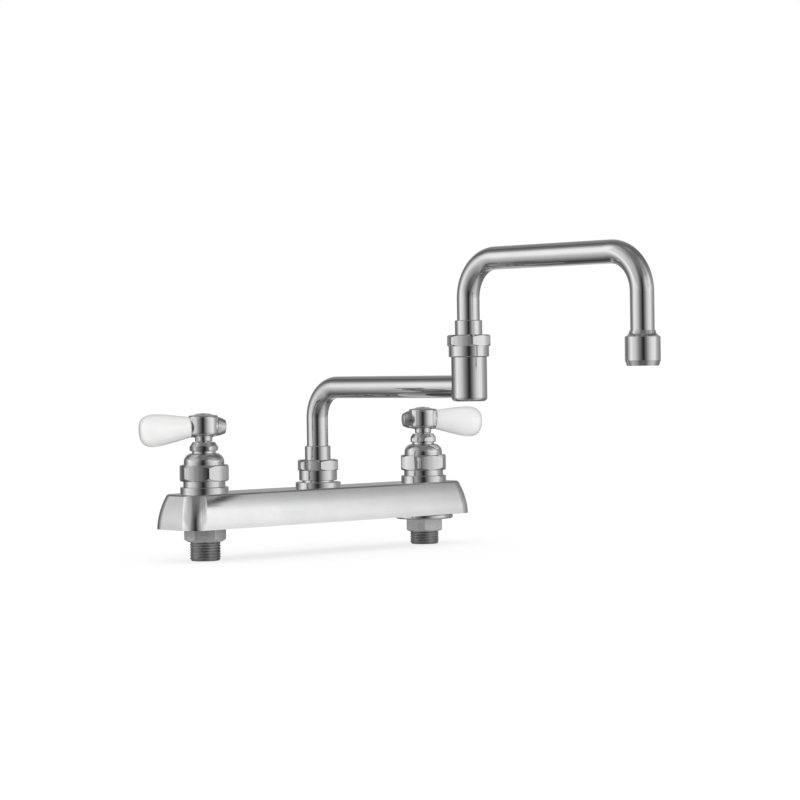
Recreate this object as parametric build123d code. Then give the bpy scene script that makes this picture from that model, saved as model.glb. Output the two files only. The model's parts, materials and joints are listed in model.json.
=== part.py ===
from build123d import *
import math
import os

os.makedirs("parts", exist_ok=True)

# Deck-mount two-handle faucet with a double-jointed swing spout.
# Millimetres. +Z up, +X towards the cold valve, -Y towards the bowl of the sink.
# Origin: on the deck plane (the underside rim of the body), midway between the two inlet shanks.

# ---------------------------------------------------------------- driving dimensions
centres = 203.2            # valve to valve, 8 in
ax = centres / 2
# body casting
body_end = 28.6            # from a valve axis to the end of the base
body_depth = 46.9
body_h = 23.4
body_inset = 5.3           # how far each side leans in over the height
wall = 3.0
corner_r = 12.0
boss_r = 16.3              # valve boss
boss_top = 27.9
column_r = 15.0            # valve column inside the hollow
flange_r = 15.8            # spout flange
flange_top = 27.2
way_z = 14.5               # cast waterway between the columns
way_r_out = 6.0
way_r_in = 3.6
chamber_r = 11.0
# inlets, 1/2-14 straight pipe thread
shank_r = 10.475
shank_in = 10.3            # thread's pitch line, where a nut or the casting holds it
shank_bot = -21.8
shank_bore = 6.5
nut_af = 25.6
nut_h = 9.0
washer_r = 20.8
washer_t = 3.4
# spout
tube_r = 7.5
tube_bore = 6.3
reach = 152.4              # each arm, 6 in
arm_z = 93.1               # centreline of the lower arm
top_z = 176.5              # centreline of the upper arm
bend_lo = 21.5
bend_up = 25.5
base_z0 = 28.2             # underside of the swivel nut at the base
joint_z0 = 112.6           # underside of the swivel nut at the elbow joint
neck_r = 10.9
socket_r = 8.5
swivel_gap = 0.1
barrel_r = 11.75
barrel_bot = 83.4
outlet_bot = 105.3
# valve stem
stem_lift = 3.0            # full opening
lever_z = 68.8
droop = 4.4                # the lever falls this many degrees towards its tip
stub_droop = 3.0           # and the stub opposite it falls this much
hub_r = 10.4               # the hub is an upright drum, cut flat where the grip and the stub begin
hot_turn = 150.0           # rest directions of the levers, seen from above
cold_turn = -30.0


# ---------------------------------------------------------------- helpers
def rounded(pts):
    """Closed outline in the XZ plane from (r, z) or (r, z, fillet) points."""
    n = len(pts)
    edges = []
    ends = []
    for i, p in enumerate(pts):
        a = Vector(pts[i - 1][0], 0, pts[i - 1][1])
        b = Vector(p[0], 0, p[1])
        c = Vector(pts[(i + 1) % n][0], 0, pts[(i + 1) % n][1])
        f = p[2] if len(p) > 2 else 0
        if not f:
            ends.append((b, b, None))
            continue
        u = (a - b).normalized()
        v = (c - b).normalized()
        ang = math.acos(max(-1, min(1, u.dot(v))))
        t = f / math.tan(ang / 2)
        mid = b + (u + v).normalized() * (f / math.sin(ang / 2) - f)
        ends.append((b + u * t, b + v * t, mid))
    for i in range(n):
        p0, p1, mid = ends[i]
        if mid is not None:
            edges.append(ThreePointArc(p0, mid, p1))
        q0 = ends[(i + 1) % n][0]
        if (q0 - p1).length > 1e-6:
            edges.append(Line(p1, q0))
    return make_face(edges)


def spin(pts):
    """Solid of revolution about Z."""
    return revolve(rounded(pts), Axis.Z, 360)


def ring(r0, r1, z0, z1):
    return spin([(r0, z0), (r1, z0), (r1, z1), (r0, z1)])


def rod(r, z0, z1):
    return Pos(0, 0, z0) * Cylinder(r, z1 - z0, align=(Align.CENTER, Align.CENTER, Align.MIN))


def hexagon(af, z0, z1, turn=0.0, swell=0.0, edge=0.0):
    """Six-sided prism by its size across flats; one corner points turn degrees from +X.
    Polishing leaves each flat swollen towards its middle, and each corner rounded."""
    r = (af / 2 - swell) / math.cos(math.pi / 6)

    def spoke(radius, deg):
        a = math.radians(turn + deg)
        return (radius * math.cos(a), radius * math.sin(a))

    sides = [ThreePointArc(spoke(r, 60 * k), spoke(af / 2, 60 * k + 30), spoke(r, 60 * k + 60)) for k in range(6)]
    s = make_face(sides)
    if edge:
        s = fillet(s.vertices(), edge)
    return extrude(Pos(0, 0, z0) * s, z1 - z0)


def at(x, solid, y=0.0, z=0.0):
    return Pos(x, y, z) * solid


def save(name, *solids):
    out = []
    for s in solids:
        out += list(s.solids())
    shape = out[0] if len(out) == 1 else Compound(children=out)
    shape.label = name
    export_step(shape, f"parts/{name}.step")


# ---------------------------------------------------------------- body casting
def lump(half_x, half_y, h, inset, mid_share=0.27):
    """Low block whose four sides bow outwards and lean in towards the top."""
    def side(half):
        right = ThreePointArc((half, 0), (half - inset * mid_share, h * 0.49), (half - inset, h))
        left = ThreePointArc((-half + inset, h), (-half + inset * mid_share, h * 0.49), (-half, 0))
        return make_face([Line((-half, 0), (half, 0)), right, Line((half - inset, h), (-half + inset, h)), left])

    ends = extrude(Plane.XZ * side(half_x), half_y + 10, both=True)
    fronts = extrude(Plane.YZ * side(half_y), half_x + 10, both=True)
    return ends & fronts


half_x = ax + body_end
half_y = body_depth / 2
outer = lump(half_x, half_y, body_h, body_inset)
uprights = [e for e in outer.edges() if abs(e.center().X) > half_x - body_inset - 1 and abs(e.center().Y) > half_y - body_inset - 1
            and e.bounding_box().size.Z > 10]
outer = fillet(uprights, corner_r)
top_edges = [e for e in outer.edges() if e.bounding_box().min.Z > body_h - 0.01]
outer = fillet(top_edges, 2.0)
inner = lump(half_x - wall, half_y - wall, body_h - wall, body_inset - 0.6)
hollow_edges = [e for e in inner.edges() if e.bounding_box().size.Z > 10]
inner = fillet(hollow_edges, corner_r - wall)
body = outer - inner
for s in (-1, 1):
    body += at(s * ax, spin([(0, 0), (column_r, 0), (column_r, 21.5), (boss_r, 21.6), (boss_r, boss_top, 0.8), (0, boss_top)]))
body += spin([(0, 8.0), (12.5, 8.0), (12.5, 22.0), (flange_r, 22.0), (flange_r, flange_top, 0.7), (0, flange_top)])
body += rod(neck_r, 20.0, base_z0 + 8.4)
way = Rot(0, 90, 0) * Cylinder(way_r_out, centres)
body += Pos(0, 0, way_z) * way
# bores
for s in (-1, 1):
    body -= at(s * ax, rod(chamber_r, 11.0, boss_top + 1))
    body -= at(s * ax, rod(13.1, boss_top - 1.0, boss_top + 1))
    body -= at(s * ax, rod(6.4, 3.0, 12.0))
    body -= at(s * ax, rod(shank_in, -1.0, 4.9))
body -= rod(socket_r, 11.0, base_z0 + 10)
body -= Pos(0, 0, way_z) * (Rot(0, 90, 0) * Cylinder(way_r_in, centres - 2 * 8))
save("faucet_body", body)

# ---------------------------------------------------------------- inlets and fixings
for s, side in ((-1, "hot"), (1, "cold")):
    top = 0.0 if s < 0 else -washer_t
    free = top - nut_h - 0.3          # the thread is bare from here down, for the supply coupling
    shank = spin([(shank_bore, shank_bot), (shank_r - 1.2, shank_bot), (shank_r, shank_bot + 1.2), (shank_r, free), (shank_in, free),
                  (shank_in, 4.9), (shank_bore, 4.9)])
    save(f"{side}_inlet_shank", at(s * ax, shank))
    turn = 21.4 if s < 0 else -13.4
    envelope = spin([(shank_in, top - nut_h), (11.75, top - nut_h), (14.6, top - nut_h + 1.9), (14.6, top - 0.7), (13.6, top), (shank_in, top)])
    save(f"{side}_lock_nut", at(s * ax, hexagon(nut_af, top - nut_h, top, turn, 0.5, 1.4) & envelope))
save("cold_mounting_washer", at(ax, spin([(10.8, -washer_t), (washer_r, -washer_t, 1.2), (washer_r, 0, 1.0), (10.8, 0)])))

# ---------------------------------------------------------------- valves
for s, side in ((-1, "hot"), (1, "cold")):
    x = s * ax
    hex_turn = 2.7 if s < 0 else -19.6
    # removable seat
    save(f"{side}_valve_seat", at(x, spin([(4.5, 5.2), (6.4, 5.2), (6.4, 11.0), (7.8, 11.0), (7.8, 12.2, 0.3), (5.9, 12.2), (5.5, 13.0), (4.5, 13.0)])))
    # fibre ring under the bonnet
    save(f"{side}_bonnet_gasket", at(x, ring(11.0, 13.0, boss_top - 1.0, boss_top)))
    # bonnet: threaded skirt, neck, hexagon and dome
    skirt = spin([(7.5, 19.0), (11.0, 19.0), (11.0, 27.9), (14.2, 27.9), (14.2, 32.0), (0, 32.0), (0, 27), (7.5, 27)])
    flats = hexagon(32.5, 31.7, 42.7, hex_turn, 1.2, 1.2) & spin([(0, 31.7), (15.9, 31.7), (17.4, 33.8, 2.0), (17.4, 40.6, 2.0), (15.9, 42.7), (0, 42.7)])
    dome = spin([(0, 42.0), (13.65, 42.0), (13.65, 46.9, 5.5), (10.3, 50.6, 5.0), (8.0, 50.6), (8.0, 51.9), (7.3, 51.9), (7.3, 56.0), (0, 56.0)])
    bonnet = skirt + flats + dome
    bonnet -= rod(7.5, 18.0, 25.6)
    bonnet -= rod(6.0, 20.0, 37.0)
    bonnet -= rod(3.6, 30.0, 50.0)
    bonnet -= rod(5.8, 46.0, 60.0)
    save(f"{side}_bonnet", at(x, bonnet))
    # stem packing, its follower and the packing nut
    save(f"{side}_packing_ring", at(x, spin([(3.5, 46.1), (5.75, 46.1), (5.75, 51.0), (3.5, 51.0)])))
    save(f"{side}_packing_gland", at(x, spin([(3.5, 51.0), (5.7, 51.0), (5.7, 56.4), (3.5, 56.4)])))
    pn = hexagon(18.4, 51.9, 58.0, hex_turn + 11, 0.75, 1.8) & spin([(0, 51.9), (8.8, 51.9), (9.75, 52.6, 0.4), (9.75, 54.6, 0.9), (7.6, 58.0, 0.6), (0, 58.0)])
    pn -= rod(7.3, 51.0, 56.4)
    pn -= rod(3.7, 56.0, 59.0)
    save(f"{side}_packing_nut", at(x, pn))
    # rising, non-turning seat carrier
    save(f"{side}_seat_washer", at(x, ring(1.55, 6.0, 13.05, 16.0)))
    disc = spin([(0, 16.0), (6.05, 16.0), (6.05, 14.2), (7.0, 14.2), (7.0, 18.2, 0.6), (4.4, 18.2), (4.4, 22.0), (0, 22.0)])
    disc -= rod(3.05, 18.5, 23.0)
    disc -= rod(1.5, 15.0, 18.0)
    save(f"{side}_seat_disc", at(x, disc))
    save(f"{side}_seat_screw", at(x, spin([(0, 12.05), (2.4, 12.05), (3.0, 12.6), (3.0, 13.05), (1.5, 13.05), (1.5, 17.9), (0, 17.9)])))
    # turning stem with its lifting thread and the serrated top
    stem = spin([(0, 18.6), (2.95, 18.6), (2.95, 23.0), (5.9, 23.0, 0.5), (5.9, 33.5, 0.5), (3.4, 33.5), (3.4, 62.0), (3.0, 63.0), (3.0, 71.5), (0, 71.5)])
    stem -= rod(1.5, 62.0, 72.0)
    turn = hot_turn if s < 0 else cold_turn

    def place(shape):
        return Pos(x, 0, 0) * (Rot(0, 0, turn) * shape)

    def along(shape):
        """A shape drawn along +Z becomes one drawn along the drooping lever axis."""
        return Pos(0, 0, lever_z) * (Rot(0, 90 + droop, 0) * shape)

    def back(shape):
        """The same for the stub, whose shapes are drawn along -Z."""
        return Pos(0, 0, lever_z) * (Rot(0, 90 - stub_droop, 0) * shape)

    save(f"{side}_stem", place(stem))
    # handle hub
    core = extrude(Pos(0, 0, 62.6) * Circle(hub_r), 13.4)
    core = fillet([e for e in core.edges() if e.bounding_box().size.Z < 0.1], 1.5)
    hub = core + spin([(0, 58.3), (5.9, 58.3), (5.9, 63.0), (0, 63.0)]) + spin([(0, 75.0), (7.2, 75.0), (7.2, 76.0), (4.6, 77.0), (0, 77.0)])
    hub += along(spin([(0, 0), (7.2, 0), (7.2, 9.3, 0.5), (0, 9.3)]))
    hub += back(spin([(0, -9.1), (6.6, -9.1), (7.45, -5.8), (7.45, 0), (0, 0)]))
    hub -= along(rod(10.0, 9.3, 14.0))
    hub -= back(rod(10.0, -14.0, -9.1))
    hub -= rod(3.0, 58.0, 71.5)
    hub -= rod(3.45, 58.0, 63.1)
    hub -= rod(1.9, 70.0, 75.0)
    hub -= rod(4.6, 73.0, 79.0)
    hub -= along(rod(2.5, 4.6, 12.0))
    hub -= back(rod(2.0, -12.0, -4.6))
    save(f"{side}_handle_hub", place(hub))
    save(f"{side}_handle_screw", place(spin([(0, 64.0), (1.5, 64.0), (1.5, 73.0), (3.4, 73.0), (3.4, 74.9, 0.5), (0, 74.9)])))
    save(f"{side}_index_button", place(spin([(0, 75.2), (4.6, 75.2), (4.6, 77.0), (2.6, 77.35), (0, 77.5)])))
    save(f"{side}_lever_rod", place(along(rod(2.5, 4.6, 37.5))))
    # grip, a drawn-out pear with a blunt rounded end
    prof = Spline([(7.0, 0, 9.3), (7.5, 0, 12.0), (8.95, 0, 19.3), (10.3, 0, 26.8), (10.9, 0, 32.0), (10.9, 0, 35.2), (10.35, 0, 38.2),
                   (8.9, 0, 40.9), (6.2, 0, 42.8), (3.0, 0, 43.6), (0, 0, 43.75)], tangents=[(0.5, 0, 3.0), (-1, 0, 0)])
    grip = revolve(make_face([prof, Line((0, 0, 43.75), (0, 0, 9.3)), Line((0, 0, 9.3), (7.0, 0, 9.3))]), Axis.Z, 360)
    grip -= rod(2.5, 9.0, 37.5)
    save(f"{side}_grip", place(along(grip)))
    stub = spin([(0, -15.0), (4.5, -15.0, 1.1), (6.05, -11.6, 5.0), (6.6, -9.1), (2.0, -9.1), (2.0, -4.6), (0, -4.6)])
    save(f"{side}_stub_cap", place(back(stub)))


# ---------------------------------------------------------------- swivels: the base one and the elbow one are alike
def swivel(z0, turn):
    flats = hexagon(28.0, z0 + 7.0, z0 + 14.5, turn, 0.9, 1.0) & spin([(0, z0 + 7.0), (13.9, z0 + 7.0), (15.1, z0 + 8.3, 1.0), (15.1, z0 + 12.9, 1.0), (13.5, z0 + 14.5), (0, z0 + 14.5)])
    nut = flats + spin([(0, z0), (12.9, z0), (13.3, z0 + 0.4), (13.3, z0 + 7.5), (0, z0 + 7.5)])
    nut -= rod(neck_r, z0 - 1, z0 + 8.4)
    nut -= rod(neck_r + 0.05, z0 + 8.0, z0 + 10.6)
    nut -= rod(9.1, z0 + 10, z0 + 15)
    sp = socket_r - swivel_gap
    sleeve = spin([(5.6, z0 - 4.2), (sp - 0.5, z0 - 4.2), (sp, z0 - 3.7), (sp, z0 - 2.5), (6.85, z0 - 2.5), (6.85, z0 - 0.5), (sp, z0 - 0.5),
                   (sp, z0 + 2.4), (6.85, z0 + 2.4), (6.85, z0 + 4.4), (sp, z0 + 4.4), (sp, z0 + 8.6), (8.15, z0 + 8.6), (8.15, z0 + 10.4),
                   (9.0, z0 + 10.4), (9.0, z0 + 24.1, 0.7), (tube_r, z0 + 24.1), (tube_r, z0 + 6.0), (5.6, z0 + 6.0)])
    clip = ring(8.15, 10.5, z0 + 8.6, z0 + 10.4) - Pos(0, 9.5, z0 + 9.5) * Box(2.4, 6, 4)
    orings = []
    for zc in (z0 - 1.5, z0 + 3.4):
        orings.append(Pos(0, 0, zc) * Torus(7.64, 0.79))
    return nut, sleeve, clip, orings


nut, sleeve, clip, orings = swivel(base_z0, -3.5)
save("base_swivel_nut", nut)
save("base_sleeve", sleeve)
save("base_retaining_ring", clip)
save("base_o_rings", *orings)

J = -reach
nut, sleeve, clip, orings = swivel(joint_z0, -4.5)
save("joint_swivel_nut", at(0, nut, J))
save("joint_sleeve", at(0, sleeve, J))
save("joint_retaining_ring", at(0, clip, J))
save("joint_o_rings", *[at(0, o, J) for o in orings])

# ---------------------------------------------------------------- lower arm and the elbow barrel
def tube(points_path, r_out, r_in):
    start = points_path @ 0
    direction = points_path % 0
    pl = Plane(origin=start, z_dir=direction)
    return sweep(pl * Circle(r_out), path=points_path) - sweep(pl * Circle(r_in), path=points_path)


lower_start = base_z0 + 6.0
lo = Wire([
    Line((0, 0, lower_start), (0, 0, arm_z - bend_lo)),
    ThreePointArc((0, 0, arm_z - bend_lo), (0, -bend_lo * (1 - math.sqrt(0.5)), arm_z - bend_lo * (1 - math.sqrt(0.5))), (0, -bend_lo, arm_z)),
    Line((0, -bend_lo, arm_z), (0, J + 8.7, arm_z)),
])
save("lower_spout_tube", tube(lo, tube_r, tube_bore))

barrel = spin([(0, barrel_bot), (barrel_r, barrel_bot, 2.6), (barrel_r, joint_z0, 0.3), (neck_r, joint_z0), (neck_r, joint_z0 + 8.4), (0, joint_z0 + 8.4)])
barrel -= rod(socket_r, barrel_bot + 4.2, joint_z0 + 9)
barrel = at(0, barrel, J)
barrel -= Pos(0, J + 10.0, arm_z) * (Rot(90, 0, 0) * Cylinder(tube_r, 8.0))
save("joint_barrel", barrel)

# ---------------------------------------------------------------- upper arm
T = -2 * reach
k = 1 - math.sqrt(0.5)
upper_start = joint_z0 + 6.0
drop_end = 124.0
up = Wire([
    Line((0, J, upper_start), (0, J, top_z - bend_up)),
    ThreePointArc((0, J, top_z - bend_up), (0, J - bend_up * k, top_z - bend_up * k), (0, J - bend_up, top_z)),
    Line((0, J - bend_up, top_z), (0, T + bend_up, top_z)),
    ThreePointArc((0, T + bend_up, top_z), (0, T + bend_up * k, top_z - bend_up * k), (0, T, top_z - bend_up)),
    Line((0, T, top_z - bend_up), (0, T, drop_end)),
])
save("upper_spout_tube", tube(up, tube_r, tube_bore))

# ---------------------------------------------------------------- outlet
adapter = spin([(tube_bore, 113.0), (10.0, 113.0), (10.0, 122.6), (11.0, 122.6), (11.0, 123.3, 0.5), (8.9, 124.4, 3.0), (7.9, 127.2), (tube_r, 127.2), (tube_r, drop_end), (tube_bore, drop_end)])
save("outlet_adapter", at(0, adapter, T))
housing = spin([(8.2, outlet_bot), (9.85, outlet_bot), (11.0, 108.7), (11.0, 122.6), (10.0, 122.6), (10.0, 111.6), (9.2, 111.6), (9.2, 106.7), (8.2, 106.7)])
save("aerator_housing", at(0, housing, T))
save("aerator_gasket", at(0, ring(6.6, 9.9, 111.6, 113.0), T))
insert = rod(9.15, 107.1, 111.6)
screen = rod(9.15, 106.7, 107.1)
cells = [(0, 0)]
for n, rr in ((6, 2.7), (12, 5.2), (18, 7.7)):
    cells += [(rr * math.cos(2 * math.pi * i / n), rr * math.sin(2 * math.pi * i / n)) for i in range(n)]
drill = [Pos(cx, cy, 109.0) * Cylinder(0.95 if (cx or cy) else 1.0, 8.0) for cx, cy in cells]
fine = [Pos(cx, cy, 106.9) * Cylinder(0.55, 2.0) for cx, cy in cells]
insert -= drill
screen -= fine
save("aerator_insert", at(0, insert, T))
save("aerator_screen", at(0, screen, T))
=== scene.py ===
import bpy, bmesh, json, math
from mathutils import Vector, Matrix


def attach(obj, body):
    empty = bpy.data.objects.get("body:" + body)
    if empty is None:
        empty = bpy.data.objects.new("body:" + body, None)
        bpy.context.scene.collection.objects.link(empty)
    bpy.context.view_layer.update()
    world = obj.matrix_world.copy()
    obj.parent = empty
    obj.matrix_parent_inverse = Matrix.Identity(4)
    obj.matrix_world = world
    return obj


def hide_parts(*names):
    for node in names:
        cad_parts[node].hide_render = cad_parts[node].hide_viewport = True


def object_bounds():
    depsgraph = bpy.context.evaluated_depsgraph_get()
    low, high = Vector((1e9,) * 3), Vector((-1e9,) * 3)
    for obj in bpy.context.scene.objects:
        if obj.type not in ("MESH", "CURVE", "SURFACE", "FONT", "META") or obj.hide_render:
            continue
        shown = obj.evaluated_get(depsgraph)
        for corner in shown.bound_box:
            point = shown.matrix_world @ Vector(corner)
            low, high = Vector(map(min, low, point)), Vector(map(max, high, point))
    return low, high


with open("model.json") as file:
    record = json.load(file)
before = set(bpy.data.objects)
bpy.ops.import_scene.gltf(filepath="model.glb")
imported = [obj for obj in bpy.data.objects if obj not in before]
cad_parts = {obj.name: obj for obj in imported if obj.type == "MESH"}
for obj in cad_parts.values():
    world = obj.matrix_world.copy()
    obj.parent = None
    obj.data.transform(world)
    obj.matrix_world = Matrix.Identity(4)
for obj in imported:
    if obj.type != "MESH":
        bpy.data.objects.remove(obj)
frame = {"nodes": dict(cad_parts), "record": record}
cad_box = [list(c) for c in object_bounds()]
nodes = frame["nodes"]
scene = bpy.context.scene

# ------------------------------------------------------------------ camera
# Low three-quarter view from the front left, with a long lens.
cam_data = bpy.data.cameras.new("camera")
cam = bpy.data.objects.new("camera", cam_data)
scene.collection.objects.link(cam)
scene.camera = cam
cam_data.sensor_width = 36.0
cam_data.lens = 117.47
cam_data.clip_start, cam_data.clip_end = 0.05, 200.0
look = Vector((0.68063968, 0.73250077, -0.01312421))
right = Vector((0.73236309, -0.6807662, -0.01420134))
up = Vector((0.0193370087, -0.0000543107, 0.999813021))
turn = Matrix((right, up, -look)).transposed()
cam.matrix_world = Matrix.Translation((-1.200168, -1.376923, 0.107433)) @ turn.to_4x4()

# ------------------------------------------------------------------ node helpers
def new_tree(owner):
    owner.use_nodes = True
    tree = owner.node_tree
    tree.nodes.clear()
    return tree


class Net:
    """Short calls for building a node tree."""

    def __init__(self, tree):
        self.t = tree

    def node(self, kind, **props):
        n = self.t.nodes.new(kind)
        for k, v in props.items():
            setattr(n, k, v)
        return n

    def put(self, socket, value):
        if isinstance(value, bpy.types.NodeSocket):
            self.t.links.new(value, socket)
        elif value is not None:
            socket.default_value = value

    def math(self, op, a, b=None, clamp=False):
        n = self.node("ShaderNodeMath", operation=op, use_clamp=clamp)
        self.put(n.inputs[0], a)
        if b is not None:
            self.put(n.inputs[1], b)
        return n.outputs[0]

    def dot(self, a, vec):
        n = self.node("ShaderNodeVectorMath", operation="DOT_PRODUCT")
        self.put(n.inputs[0], a)
        n.inputs[1].default_value = vec
        return n.outputs["Value"]

    def ramp(self, fac, stops, how="EASE"):
        """Colour ramp from (position, grey or colour) pairs."""
        n = self.node("ShaderNodeValToRGB")
        r = n.color_ramp
        r.interpolation = how
        while len(r.elements) > 1:
            r.elements.remove(r.elements[-1])
        for i, (p, c) in enumerate(stops):
            e = r.elements[0] if i == 0 else r.elements.new(p)
            e.position = p
            e.color = (c, c, c, 1) if isinstance(c, (int, float)) else (*c, 1)
        self.put(n.inputs[0], fac)
        return n.outputs[0]

    def mix(self, fac, a, b, blend="MIX"):
        n = self.node("ShaderNodeMix", data_type="RGBA", blend_type=blend)
        self.put(n.inputs[0], fac)
        self.put(n.inputs[6], a)
        self.put(n.inputs[7], b)
        return n.outputs[2]

    def noise(self, vec, scale, detail=3.0, rough=0.5, distort=0.0):
        n = self.node("ShaderNodeTexNoise")
        self.put(n.inputs["Vector"], vec)
        n.inputs["Scale"].default_value = scale
        n.inputs["Detail"].default_value = detail
        n.inputs["Roughness"].default_value = rough
        n.inputs["Distortion"].default_value = distort
        return n.outputs["Fac"]

    def span(self, value, a, b, c, d):
        n = self.node("ShaderNodeMapRange")
        self.put(n.inputs["Value"], value)
        for name, v in zip(("From Min", "From Max", "To Min", "To Max"), (a, b, c, d)):
            n.inputs[name].default_value = v
        return n.outputs[0]

    def scaled(self, vec, by):
        n = self.node("ShaderNodeVectorMath", operation="MULTIPLY")
        self.put(n.inputs[0], vec)
        n.inputs[1].default_value = by
        return n.outputs[0]


# ------------------------------------------------------------------ studio
def studio():
    """A light tent as a function of direction: a bright wall left and right, a dark gap where the camera stands, a dimmer
    back and ceiling, and a tent edge on the right that ends lower than on the left. Both walls are dimmer
    higher up, so that level chrome still stands out from the white, and low at the back the floor glows. Soft even light
    falls on matt surfaces, a little stronger from the front. Behind the object the camera sees plain white."""
    world = bpy.data.worlds.new("studio")
    scene.world = world
    n = Net(new_tree(world))
    d = n.node("ShaderNodeTexCoord").outputs["Generated"]
    back = (-0.6808, -0.7325, 0.0)
    side = (0.7325, -0.6808, 0.0)
    az = n.math("ARCTAN2", n.dot(d, side), n.dot(d, back))
    az = n.span(az, -math.pi, math.pi, 0.0, 1.0)
    el = n.math("ARCSINE", n.dot(d, (0, 0, 1)))
    el = n.span(el, -math.pi / 2, math.pi / 2, 0.0, 1.0)

    def a(deg):
        return (deg + 180) / 360

    def e(deg):
        return (deg + 90) / 180

    around = [(a(-180), 0.36), (a(-151), 0.28), (a(-134), 0.12), (a(-116), 0.34), (a(-104), 0.60), (a(-96), 0.90), (a(-86), 1.12), (a(-74), 0.98), (a(-57), 0.82),
              (a(-45), 0.62), (a(-34), 0.38), (a(-22), 0.22), (a(-12), 0.10), (a(-3), 0.03), (a(3), 0.03), (a(9), 0.10), (a(20), 0.24),
              (a(28), 0.42), (a(42), 0.68), (a(56), 0.88), (a(72), 0.96), (a(83), 0.94), (a(88), 0.76), (a(98), 0.52), (a(114), 0.40), (a(130), 0.28), (a(150), 0.30), (a(180), 0.36)]
    left = [(e(-90), 0.30), (e(-50), 0.42), (e(-30), 0.52), (e(-14), 0.68), (e(-5), 0.84), (e(0), 0.98), (e(8), 1.14), (e(22), 1.22), (e(42), 1.05), (e(58), 0.72), (e(75), 0.45)]
    rite = [(e(-90), 0.34), (e(-50), 0.62), (e(-30), 0.72), (e(-14), 0.76), (e(-5), 0.90), (e(0), 1.06), (e(8), 1.24), (e(17), 1.36), (e(24), 1.12), (e(33), 0.72), (e(50), 0.60), (e(70), 0.42)]
    half = n.ramp(az, [(a(-160), 0.5), (a(-150), 0.0), (a(-8), 0.0), (a(8), 1.0), (a(150), 1.0), (a(160), 0.5)])
    lift = n.mix(half, n.ramp(el, left), n.ramp(el, rite))
    walls = n.math("MULTIPLY", n.ramp(az, around), lift)
    far = n.math("MULTIPLY", n.ramp(az, [(a(84), 0.0), (a(90), 1.0), (a(140), 1.0), (a(160), 0.0)]), n.ramp(el, [(e(5), 0.0), (e(15), 1.0)]))
    walls = n.math("MULTIPLY", walls, n.math("SUBTRACT", 1.0, n.math("MULTIPLY", far, 0.30)))
    high = n.math("MULTIPLY", n.ramp(az, [(a(-150), 0.0), (a(-130), 1.0), (a(-112), 1.0), (a(-103), 0.0)]), n.ramp(el, [(e(20), 0.0), (e(30), 1.0), (e(44), 1.0), (e(60), 0.0)]))
    walls = n.math("MULTIPLY", walls, n.math("SUBTRACT", 1.0, n.math("MULTIPLY", high, 0.36)))
    flank = n.ramp(az, [(a(-92), 0.0), (a(-84), 1.0), (a(-50), 1.0), (a(-40), 0.0), (a(40), 0.0), (a(50), 1.0), (a(72), 1.0), (a(82), 0.0)])
    flank = n.math("MULTIPLY", flank, n.ramp(el, [(e(4), 0.0), (e(12), 1.0), (e(45), 1.0), (e(60), 0.0)]))
    walls = n.math("MULTIPLY", walls, n.math("SUBTRACT", 1.0, n.math("MULTIPLY", flank, 0.32)))
    fill = n.ramp(el, [(e(-60), 0.22), (e(-25), 0.12), (e(-7), 0.0), (e(12), 0.0), (e(34), 0.16), (e(55), 0.24)])
    fill = n.math("MULTIPLY", fill, n.ramp(az, [(a(-95), 0.0), (a(-55), 1.0), (a(55), 1.0), (a(95), 0.0)]))
    glow = n.math("MULTIPLY", n.ramp(az, [(a(-180), 0.66), (a(-160), 0.0), (a(160), 0.0), (a(180), 0.66)]), n.ramp(el, [(e(-70), 0.6), (e(-18), 1.0), (e(-8), 0.0)]))
    walls = n.math("MAXIMUM", walls, n.math("MAXIMUM", fill, glow))
    overhead = n.ramp(el, [(e(40), 0.24), (e(66), 0.18), (e(78), 0.20), (e(90), 0.34)])
    ceiling = n.ramp(el, [(e(34), 0.0), (e(56), 0.5), (e(80), 1.0)])
    shine = n.mix(ceiling, walls, overhead)
    soft = n.math("ADD", n.math("MULTIPLY", n.dot(d, back), 0.34), n.math("ADD", n.math("MULTIPLY", n.dot(d, (0, 0, 1)), 0.02), 0.90))
    path = n.node("ShaderNodeLightPath")
    total = n.mix(path.outputs["Is Diffuse Ray"], shine, soft)
    bg = n.node("ShaderNodeBackground")
    n.put(bg.inputs["Color"], total)
    plain = n.node("ShaderNodeBackground")
    plain.inputs["Color"].default_value = (1, 1, 1, 1)
    plain.inputs["Strength"].default_value = 1.0
    both = n.node("ShaderNodeMixShader")
    n.put(both.inputs[0], path.outputs["Is Camera Ray"])
    n.put(both.inputs[1], bg.outputs[0])
    n.put(both.inputs[2], plain.outputs[0])
    out = n.node("ShaderNodeOutputWorld")
    n.put(out.inputs[0], both.outputs[0])
    scene.view_settings.view_transform = "Standard"
    scene.view_settings.look = "None"
    scene.view_settings.exposure = 0.0
    scene.view_settings.gamma = 1.0


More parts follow.
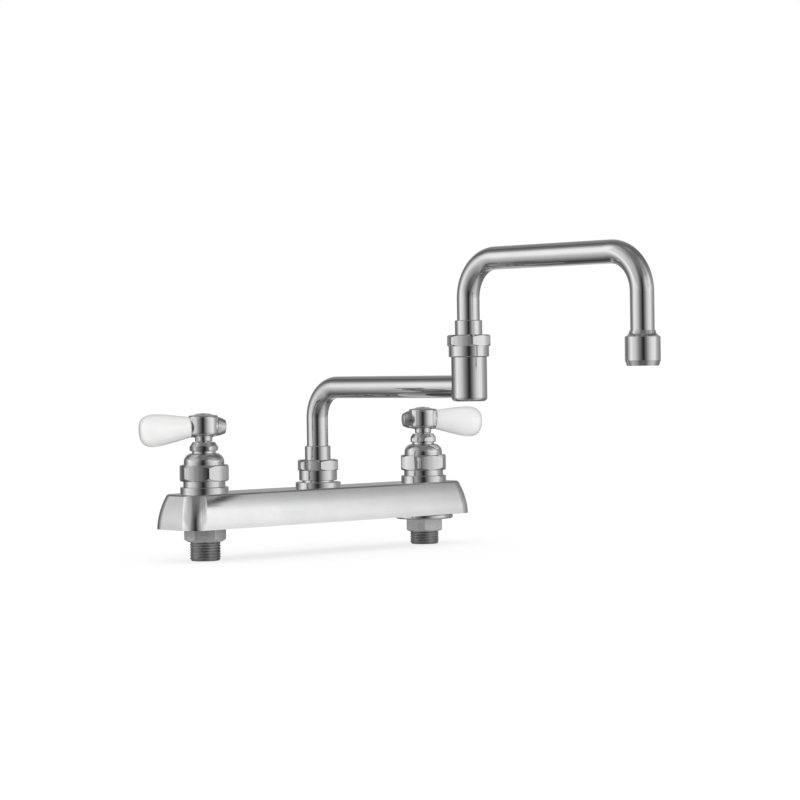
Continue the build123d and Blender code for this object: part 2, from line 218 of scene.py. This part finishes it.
def floor():
    bm = bmesh.new()
    bmesh.ops.create_circle(bm, cap_ends=True, segments=96, radius=40.0)
    me = bpy.data.meshes.new("floor")
    bm.to_mesh(me)
    bm.free()
    ob = bpy.data.objects.new("floor", me)
    scene.collection.objects.link(ob)
    ob.location.z = cad_box[0][2] - 0.0001
    mat = bpy.data.materials.new("pale_floor")
    n = Net(new_tree(mat))
    p = n.node("ShaderNodeBsdfPrincipled")
    p.inputs["Base Color"].default_value = (0.30, 0.30, 0.30, 1)
    p.inputs["Roughness"].default_value = 1.0
    p.inputs["Specular IOR Level"].default_value = 0.0
    p.inputs["Emission Color"].default_value = (1, 1, 1, 1)
    p.inputs["Emission Strength"].default_value = 0.76
    clear = n.node("ShaderNodeBsdfTransparent")
    facing = n.node("ShaderNodeNewGeometry")
    both = n.node("ShaderNodeMixShader")
    n.put(both.inputs[0], facing.outputs["Backfacing"])
    n.put(both.inputs[1], p.outputs[0])
    n.put(both.inputs[2], clear.outputs[0])
    out = n.node("ShaderNodeOutputMaterial")
    n.put(out.inputs[0], both.outputs[0])
    me.materials.append(mat)
    ob.visible_glossy = False
    ob.visible_diffuse = False


studio()
floor()


# ------------------------------------------------------------------ materials
def close(n, p, height=None, distance=0.001):
    """Bump from a height in millimetres, then the output."""
    if height is not None:
        b = n.node("ShaderNodeBump")
        b.inputs["Strength"].default_value = 1.0
        b.inputs["Distance"].default_value = distance
        n.put(b.inputs["Height"], height)
        n.put(p.inputs["Normal"], b.outputs[0])
    out = n.node("ShaderNodeOutputMaterial")
    n.put(out.inputs[0], p.outputs[0])


def metal(name, dark, light, rough_lo, rough_hi, wave=0.0, peel=0.0, grain=0.0, rings=0.0, lines=0.0, blotch=0.0, axis=None, metallic=1.0):
    """Plated or bare metal. wave: long soft hollows left by polishing; peel: the faint peel of the plating; grain: cast
    or blasted grain; rings: marks of the lathe round Z; lines: hairlines from wiping; blotch: dull clouded patches;
    axis: the x of a threaded shank, whose thread roots get painted shade, a darker colour where shade falls between the
    threads; metallic: under 1 for a thin, milky satin plate."""
    mat = bpy.data.materials.new(name)
    n = Net(new_tree(mat))
    c = n.node("ShaderNodeTexCoord").outputs["Object"]
    p = n.node("ShaderNodeBsdfPrincipled")
    p.inputs["Metallic"].default_value = metallic
    cloud = n.noise(c, 34.0, 4.0, 0.55)
    fine = n.noise(c, 1100.0, 2.0, 0.6)
    tone = n.math("ADD", n.math("MULTIPLY", cloud, 0.72), n.math("MULTIPLY", fine, 0.28))
    colour = n.ramp(tone, [(0.34, dark), (0.66, light)], "LINEAR")
    if blotch:
        spot = n.ramp(n.noise(c, 150.0, 5.0, 0.62, 0.6), [(0.50, 0.0), (0.72, 1.0)], "EASE")
        colour = n.mix(n.math("MULTIPLY", spot, blotch), colour, tuple(x * 0.62 for x in dark) + (1,))
    # Painted shade: on a threaded shank the thread roots, between radii 9.60 and 10.35 mm from its centre line, are
    # coloured darker.
    if axis is not None:
        shift = n.node("ShaderNodeVectorMath", operation="SUBTRACT")
        n.put(shift.inputs[0], c)
        shift.inputs[1].default_value = (axis, 0.0, 0.0)
        flat = n.node("ShaderNodeVectorMath", operation="LENGTH")
        n.put(flat.inputs[0], n.scaled(shift.outputs[0], (1.0, 1.0, 0.0)))
        depth = n.span(flat.outputs["Value"], 0.00960, 0.01035, 0.0, 1.0)
        colour = n.mix(depth, tuple(x * 0.62 for x in dark) + (1,), colour)
    n.put(p.inputs["Base Color"], colour)
    smear = n.noise(n.scaled(c, (1.0, 1.0, 0.35)), 120.0, 5.0, 0.65)
    rough = n.span(smear, 0.3, 0.7, rough_lo, rough_hi)
    height = n.math("MULTIPLY", n.noise(c, 46.0, 1.0, 0.4), wave)
    if peel:
        height = n.math("ADD", height, n.math("MULTIPLY", n.noise(c, 520.0, 2.0, 0.5), peel))
    if grain:
        height = n.math("ADD", height, n.math("MULTIPLY", n.noise(c, 2600.0, 3.0, 0.6), grain))
    if rings:
        lathe = n.noise(n.scaled(c, (0.004, 0.004, 1.0)), 3600.0, 2.0, 0.7)
        height = n.math("ADD", height, n.math("MULTIPLY", lathe, rings))
        rough = n.math("ADD", rough, n.math("MULTIPLY", lathe, min(0.12, rings * 14.0)))
    if lines:
        one = n.ramp(n.noise(n.scaled(c, (1.0, 0.05, 0.12)), 2300.0, 2.0, 0.5), [(0.655, 0.0), (0.70, 1.0)], "LINEAR")
        two = n.ramp(n.noise(n.scaled(c, (0.06, 0.10, 1.0)), 2100.0, 2.0, 0.5), [(0.655, 0.0), (0.70, 1.0)], "LINEAR")
        hair = n.math("ADD", one, two, clamp=True)
        rough = n.math("ADD", rough, n.math("MULTIPLY", hair, lines))
    n.put(p.inputs["Roughness"], rough)
    close(n, p, height)
    return mat


def plain(name, color, rough, metallic=0.0, scale=600.0, bump=0.02, coat=0.0, spread=0.12):
    mat = bpy.data.materials.new(name)
    n = Net(new_tree(mat))
    c = n.node("ShaderNodeTexCoord").outputs["Object"]
    p = n.node("ShaderNodeBsdfPrincipled")
    p.inputs["Metallic"].default_value = metallic
    p.inputs["Coat Weight"].default_value = coat
    p.inputs["Coat Roughness"].default_value = 0.03
    v = n.noise(c, scale, 4.0, 0.6)
    lo = tuple(x * (1 - spread) for x in color)
    hi = tuple(min(1, x * (1 + spread * 0.6)) for x in color)
    n.put(p.inputs["Base Color"], n.ramp(v, [(0.3, lo), (0.7, hi)], "LINEAR"))
    n.put(p.inputs["Roughness"], n.span(v, 0.3, 0.7, rough * 0.85, min(1.0, rough * 1.2)))
    close(n, p, n.math("MULTIPLY", v, bump))
    return mat


def glaze(name):
    """White glazed handle: an even body colour under a glossy coat, with the glaze's slow swells, a few pinholes and a
    slightly thinner, greyer glaze in places."""
    mat = bpy.data.materials.new(name)
    n = Net(new_tree(mat))
    c = n.node("ShaderNodeTexCoord").outputs["Object"]
    p = n.node("ShaderNodeBsdfPrincipled")
    p.inputs["Coat Weight"].default_value = 1.0
    p.inputs["Coat Roughness"].default_value = 0.04
    p.inputs["IOR"].default_value = 1.5
    thin = n.noise(c, 70.0, 3.0, 0.5)
    colour = n.ramp(thin, [(0.32, (0.865, 0.865, 0.858)), (0.66, (0.91, 0.91, 0.908))], "EASE")
    pin = n.ramp(n.noise(c, 1900.0, 1.0, 0.4), [(0.80, 0.0), (0.84, 1.0)], "LINEAR")
    colour = n.mix(n.math("MULTIPLY", pin, 0.35), colour, (0.55, 0.55, 0.54, 1))
    n.put(p.inputs["Base Color"], colour)
    n.put(p.inputs["Roughness"], n.span(thin, 0.3, 0.7, 0.16, 0.26))
    swell = n.math("MULTIPLY", n.noise(c, 110.0, 1.0, 0.4), 0.02)
    close(n, p, n.math("SUBTRACT", swell, n.math("MULTIPLY", pin, 0.004)))
    return mat


looks = {
    "chrome": metal("chrome", (0.70, 0.70, 0.705), (0.76, 0.76, 0.765), 0.035, 0.080, 0.010, 0.0004, lines=0.05),
    "dull_plate": metal("dull_plate", (0.62, 0.62, 0.622), (0.76, 0.76, 0.762), 0.50, 0.64, 0.01, grain=0.003, rings=0.006, blotch=0.30, metallic=0.78),
    "brass": metal("brass", (0.60, 0.44, 0.20), (0.75, 0.58, 0.30), 0.18, 0.32, 0.0, rings=0.005, blotch=0.35),
    "rubber": plain("rubber", (0.022, 0.022, 0.023), 0.55),
    "fibre": plain("fibre", (0.26, 0.08, 0.05), 0.8, scale=1500.0, bump=0.06, spread=0.3),
    "packing": plain("packing", (0.80, 0.80, 0.78), 0.6),
    "white_grip": glaze("white_grip"),
    "white_plastic": plain("white_plastic", (0.70, 0.70, 0.69), 0.45),
    "stainless": plain("stainless", (0.55, 0.55, 0.55), 0.28, metallic=1.0, scale=1800.0, bump=0.01),
}
# The same plating differs by how each piece was made, and the stub caps get a lighter copy of it as a painted
# highlight.
cast_chrome = metal("chrome_cast", (0.70, 0.70, 0.705), (0.77, 0.77, 0.775), 0.085, 0.135, 0.030, 0.0008, lines=0.06)
tube_chrome = metal("chrome_tube", (0.70, 0.70, 0.705), (0.76, 0.76, 0.765), 0.030, 0.070, 0.003, 0.00015, lines=0.03)
turned_chrome = metal("chrome_turned", (0.70, 0.70, 0.705), (0.76, 0.76, 0.765), 0.035, 0.085, 0.006, 0.0003, rings=0.0006, lines=0.05)
# Stub caps: a rougher finish, and a lighter base colour that is a painted highlight brightening them.
lit_cap_chrome = metal("chrome_cap_painted_highlight", (0.72, 0.72, 0.725), (0.79, 0.79, 0.795), 0.19, 0.27, 0.006, 0.0003, rings=0.0006, lines=0.04)
raw_cast = metal("cast_inside", (0.34, 0.29, 0.22), (0.52, 0.46, 0.37), 0.50, 0.72, 0.06, grain=0.035, blotch=0.5)
ground = metal("ground_rim", (0.50, 0.48, 0.44), (0.64, 0.62, 0.58), 0.26, 0.40, 0.0, grain=0.004, lines=0.12)
# Plating of the threaded shanks, with painted shade darkening the thread roots.
thread_plate = {s: metal("thread_plate_" + s, (0.58, 0.58, 0.582), (0.72, 0.72, 0.722), 0.34, 0.48, 0.0, grain=0.003, blotch=0.25, axis=x)
                for s, x in (("hot", -0.1016), ("cold", 0.1016))}

slots = {s["node"]: s["material_slot"] for s in frame["record"]["subparts"]}


def dress(ob, *mats):
    ob.data.materials.clear()
    for m in mats:
        ob.data.materials.append(m)
    for poly in ob.data.polygons:
        poly.material_index = 0


for name, ob in nodes.items():
    skin = looks[slots[name]]
    if slots[name] == "chrome":
        if name.endswith("spout_tube"):
            skin = tube_chrome
        elif name.endswith("stub_cap"):
            skin = lit_cap_chrome
        elif name != "faucet_body":
            skin = turned_chrome
    dress(ob, skin)

# The casting is polished and plated outside, as cast in its hollow and bores, and ground flat on the rim it stands on.
body = nodes["faucet_body"]
dress(body, cast_chrome, raw_cast, ground)
end_x, end_y, corner = 0.1302, 0.02345, 0.012


def lean(z):
    return 27.0e-3 * z + 8.5 * z * z


for poly in body.data.polygons:
    c = poly.center
    px, py = end_x - lean(c.z), end_y - lean(c.z)
    dx, dy = abs(c.x) - (px - corner), abs(c.y) - (py - corner)
    skin_depth = corner - math.hypot(dx, dy) if dx > 0 and dy > 0 else min(px - abs(c.x), py - abs(c.y))
    inside = skin_depth > 0.0014 and c.z < 0.0209
    if min(abs(abs(c.x) - 0.1016), 1) < 0.0135 and math.hypot(abs(c.x) - 0.1016, c.y) < 0.0132 and c.z < 0.0277:
        inside = True
    if math.hypot(c.x, c.y) < 0.0088 and c.z < 0.036:
        inside = True
    if c.z < 0.00005 and poly.normal.z < -0.9 and skin_depth < 0.004:
        poly.material_index = 2
    elif inside:
        poly.material_index = 1

# Above the packing nut the stem is plated like the rest.
for side in ("hot", "cold"):
    stem = nodes[side + "_stem"]
    dress(stem, looks["brass"], turned_chrome)
    for poly in stem.data.polygons:
        if max(stem.data.vertices[v].co.z for v in poly.vertices) > 0.0575:
            poly.material_index = 1


# ------------------------------------------------------------------ threaded shanks
def piece(name, mesh, mat):
    ob = bpy.data.objects.new(name, mesh)
    scene.collection.objects.link(ob)
    mesh.materials.clear()
    mesh.materials.append(mat)
    for poly in mesh.polygons:
        poly.use_smooth = True
    return ob


def shank(side, x, nut_face):
    """1/2-14 straight pipe thread, cut from the open end up to the lock nut, round a plain bore; closed mesh."""
    pitch, major, depth = 1.814e-3, 10.475e-3, 0.80e-3
    bottom, top, held, bore = -21.8e-3, 4.9e-3, 10.28e-3, 6.5e-3
    around_n, step = 144, 1.814e-3 / 12

    def crest(th, z):
        ph = (z / pitch - th / (2 * math.pi)) % 1.0
        t = min(1.0, max(0.0, (abs(2 * ph - 1) - 0.07) / 0.84))
        t = t + 0.10 * math.sin(2 * math.pi * t) / 2
        r = major - depth * t
        return min(r, major - 1.25e-3 + max(0.0, z - bottom) * 1.0)

    rows = []
    z = bottom
    while z < nut_face - 1e-7:
        rows.append([(crest(2 * math.pi * k / around_n, z), z) for k in range(around_n)])
        z += step
    rows.append([(crest(2 * math.pi * k / around_n, nut_face), nut_face) for k in range(around_n)])
    for r, zz in ((held, nut_face + 0.05e-3), (held, 0.0), (held, top), (bore, top), (bore, 0.0), (bore, bottom + 0.7e-3), (bore + 0.6e-3, bottom)):
        rows.append([(r, zz)] * around_n)
    verts = []
    for row in rows:
        for k, (r, zz) in enumerate(row):
            th = 2 * math.pi * k / around_n
            verts.append((x + r * math.cos(th), r * math.sin(th), zz))
    faces = []
    m = len(rows)
    for i in range(m):
        j = (i + 1) % m
        for k in range(around_n):
            l = (k + 1) % around_n
            faces.append((i * around_n + k, i * around_n + l, j * around_n + l, j * around_n + k))
    me = bpy.data.meshes.new(side + "_threaded_shank")
    me.from_pydata(verts, [], faces)
    me.validate()
    me.update()
    ob = piece(side + "_threaded_shank", me, thread_plate[side])
    me.materials.append(looks["brass"])
    for poly in me.polygons:
        i = poly.index // around_n
        poly.material_index = 1 if i >= m - 6 else 0
    me.set_sharp_from_angle(angle=math.radians(48))
    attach(ob, "root")
    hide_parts(side + "_inlet_shank")


shank("hot", -0.1016, -9.0e-3)
shank("cold", 0.1016, -12.4e-3)


# ------------------------------------------------------------------ handle hubs
def cast_hub(side):
    """The hub's body, lever socket and tail run into each other with soft cast fillets."""
    src = nodes[side + "_handle_hub"]
    tmp = bpy.data.objects.new("tmp_hub", src.data.copy())
    scene.collection.objects.link(tmp)
    rem = tmp.modifiers.new("remesh", "REMESH")
    rem.mode = "VOXEL"
    rem.voxel_size = 0.00030
    soft = tmp.modifiers.new("soft", "SMOOTH")
    soft.factor = 0.5
    soft.iterations = 14
    dg = bpy.context.evaluated_depsgraph_get()
    me = bpy.data.meshes.new_from_object(tmp.evaluated_get(dg))
    bpy.data.objects.remove(tmp, do_unlink=True)
    me.name = side + "_cast_hub"
    ob = piece(side + "_cast_hub", me, turned_chrome)
    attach(ob, side + "_handle")
    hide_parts(side + "_handle_hub")


cast_hub("hot")
cast_hub("cold")

# ------------------------------------------------------------------ welded shells
owner = {n: b for b, names in frame["record"]["behaviour"]["bodies"].items() for n in names}


def welded(name):
    """The solid's own surface and normals, without the triangles of no area that its mesh came with."""
    src = nodes[name]
    me = src.data.copy()
    me.name = name + "_shell"
    flat = [0.0] * (3 * len(me.loops))
    me.corner_normals.foreach_get("vector", flat)
    me.attributes.new("facing", "FLOAT_VECTOR", "CORNER").data.foreach_set("vector", flat)
    bm = bmesh.new()
    bm.from_mesh(me)
    bmesh.ops.remove_doubles(bm, verts=bm.verts, dist=1e-7)
    bmesh.ops.dissolve_degenerate(bm, dist=1e-6, edges=bm.edges)
    bm.to_mesh(me)
    bm.free()
    flat = [0.0] * (3 * len(me.loops))
    me.attributes["facing"].data.foreach_get("vector", flat)
    me.attributes.remove(me.attributes["facing"])
    if "custom_normal" in me.attributes:
        me.attributes.remove(me.attributes["custom_normal"])
    ob = piece(name + "_shell", me, src.data.materials[0])
    me.normals_split_custom_set([flat[i:i + 3] for i in range(0, len(flat), 3)])
    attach(ob, owner[name])
    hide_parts(name)


for name in ("hot_grip", "cold_grip", "hot_index_button", "cold_index_button", "base_swivel_nut"):
    welded(name)
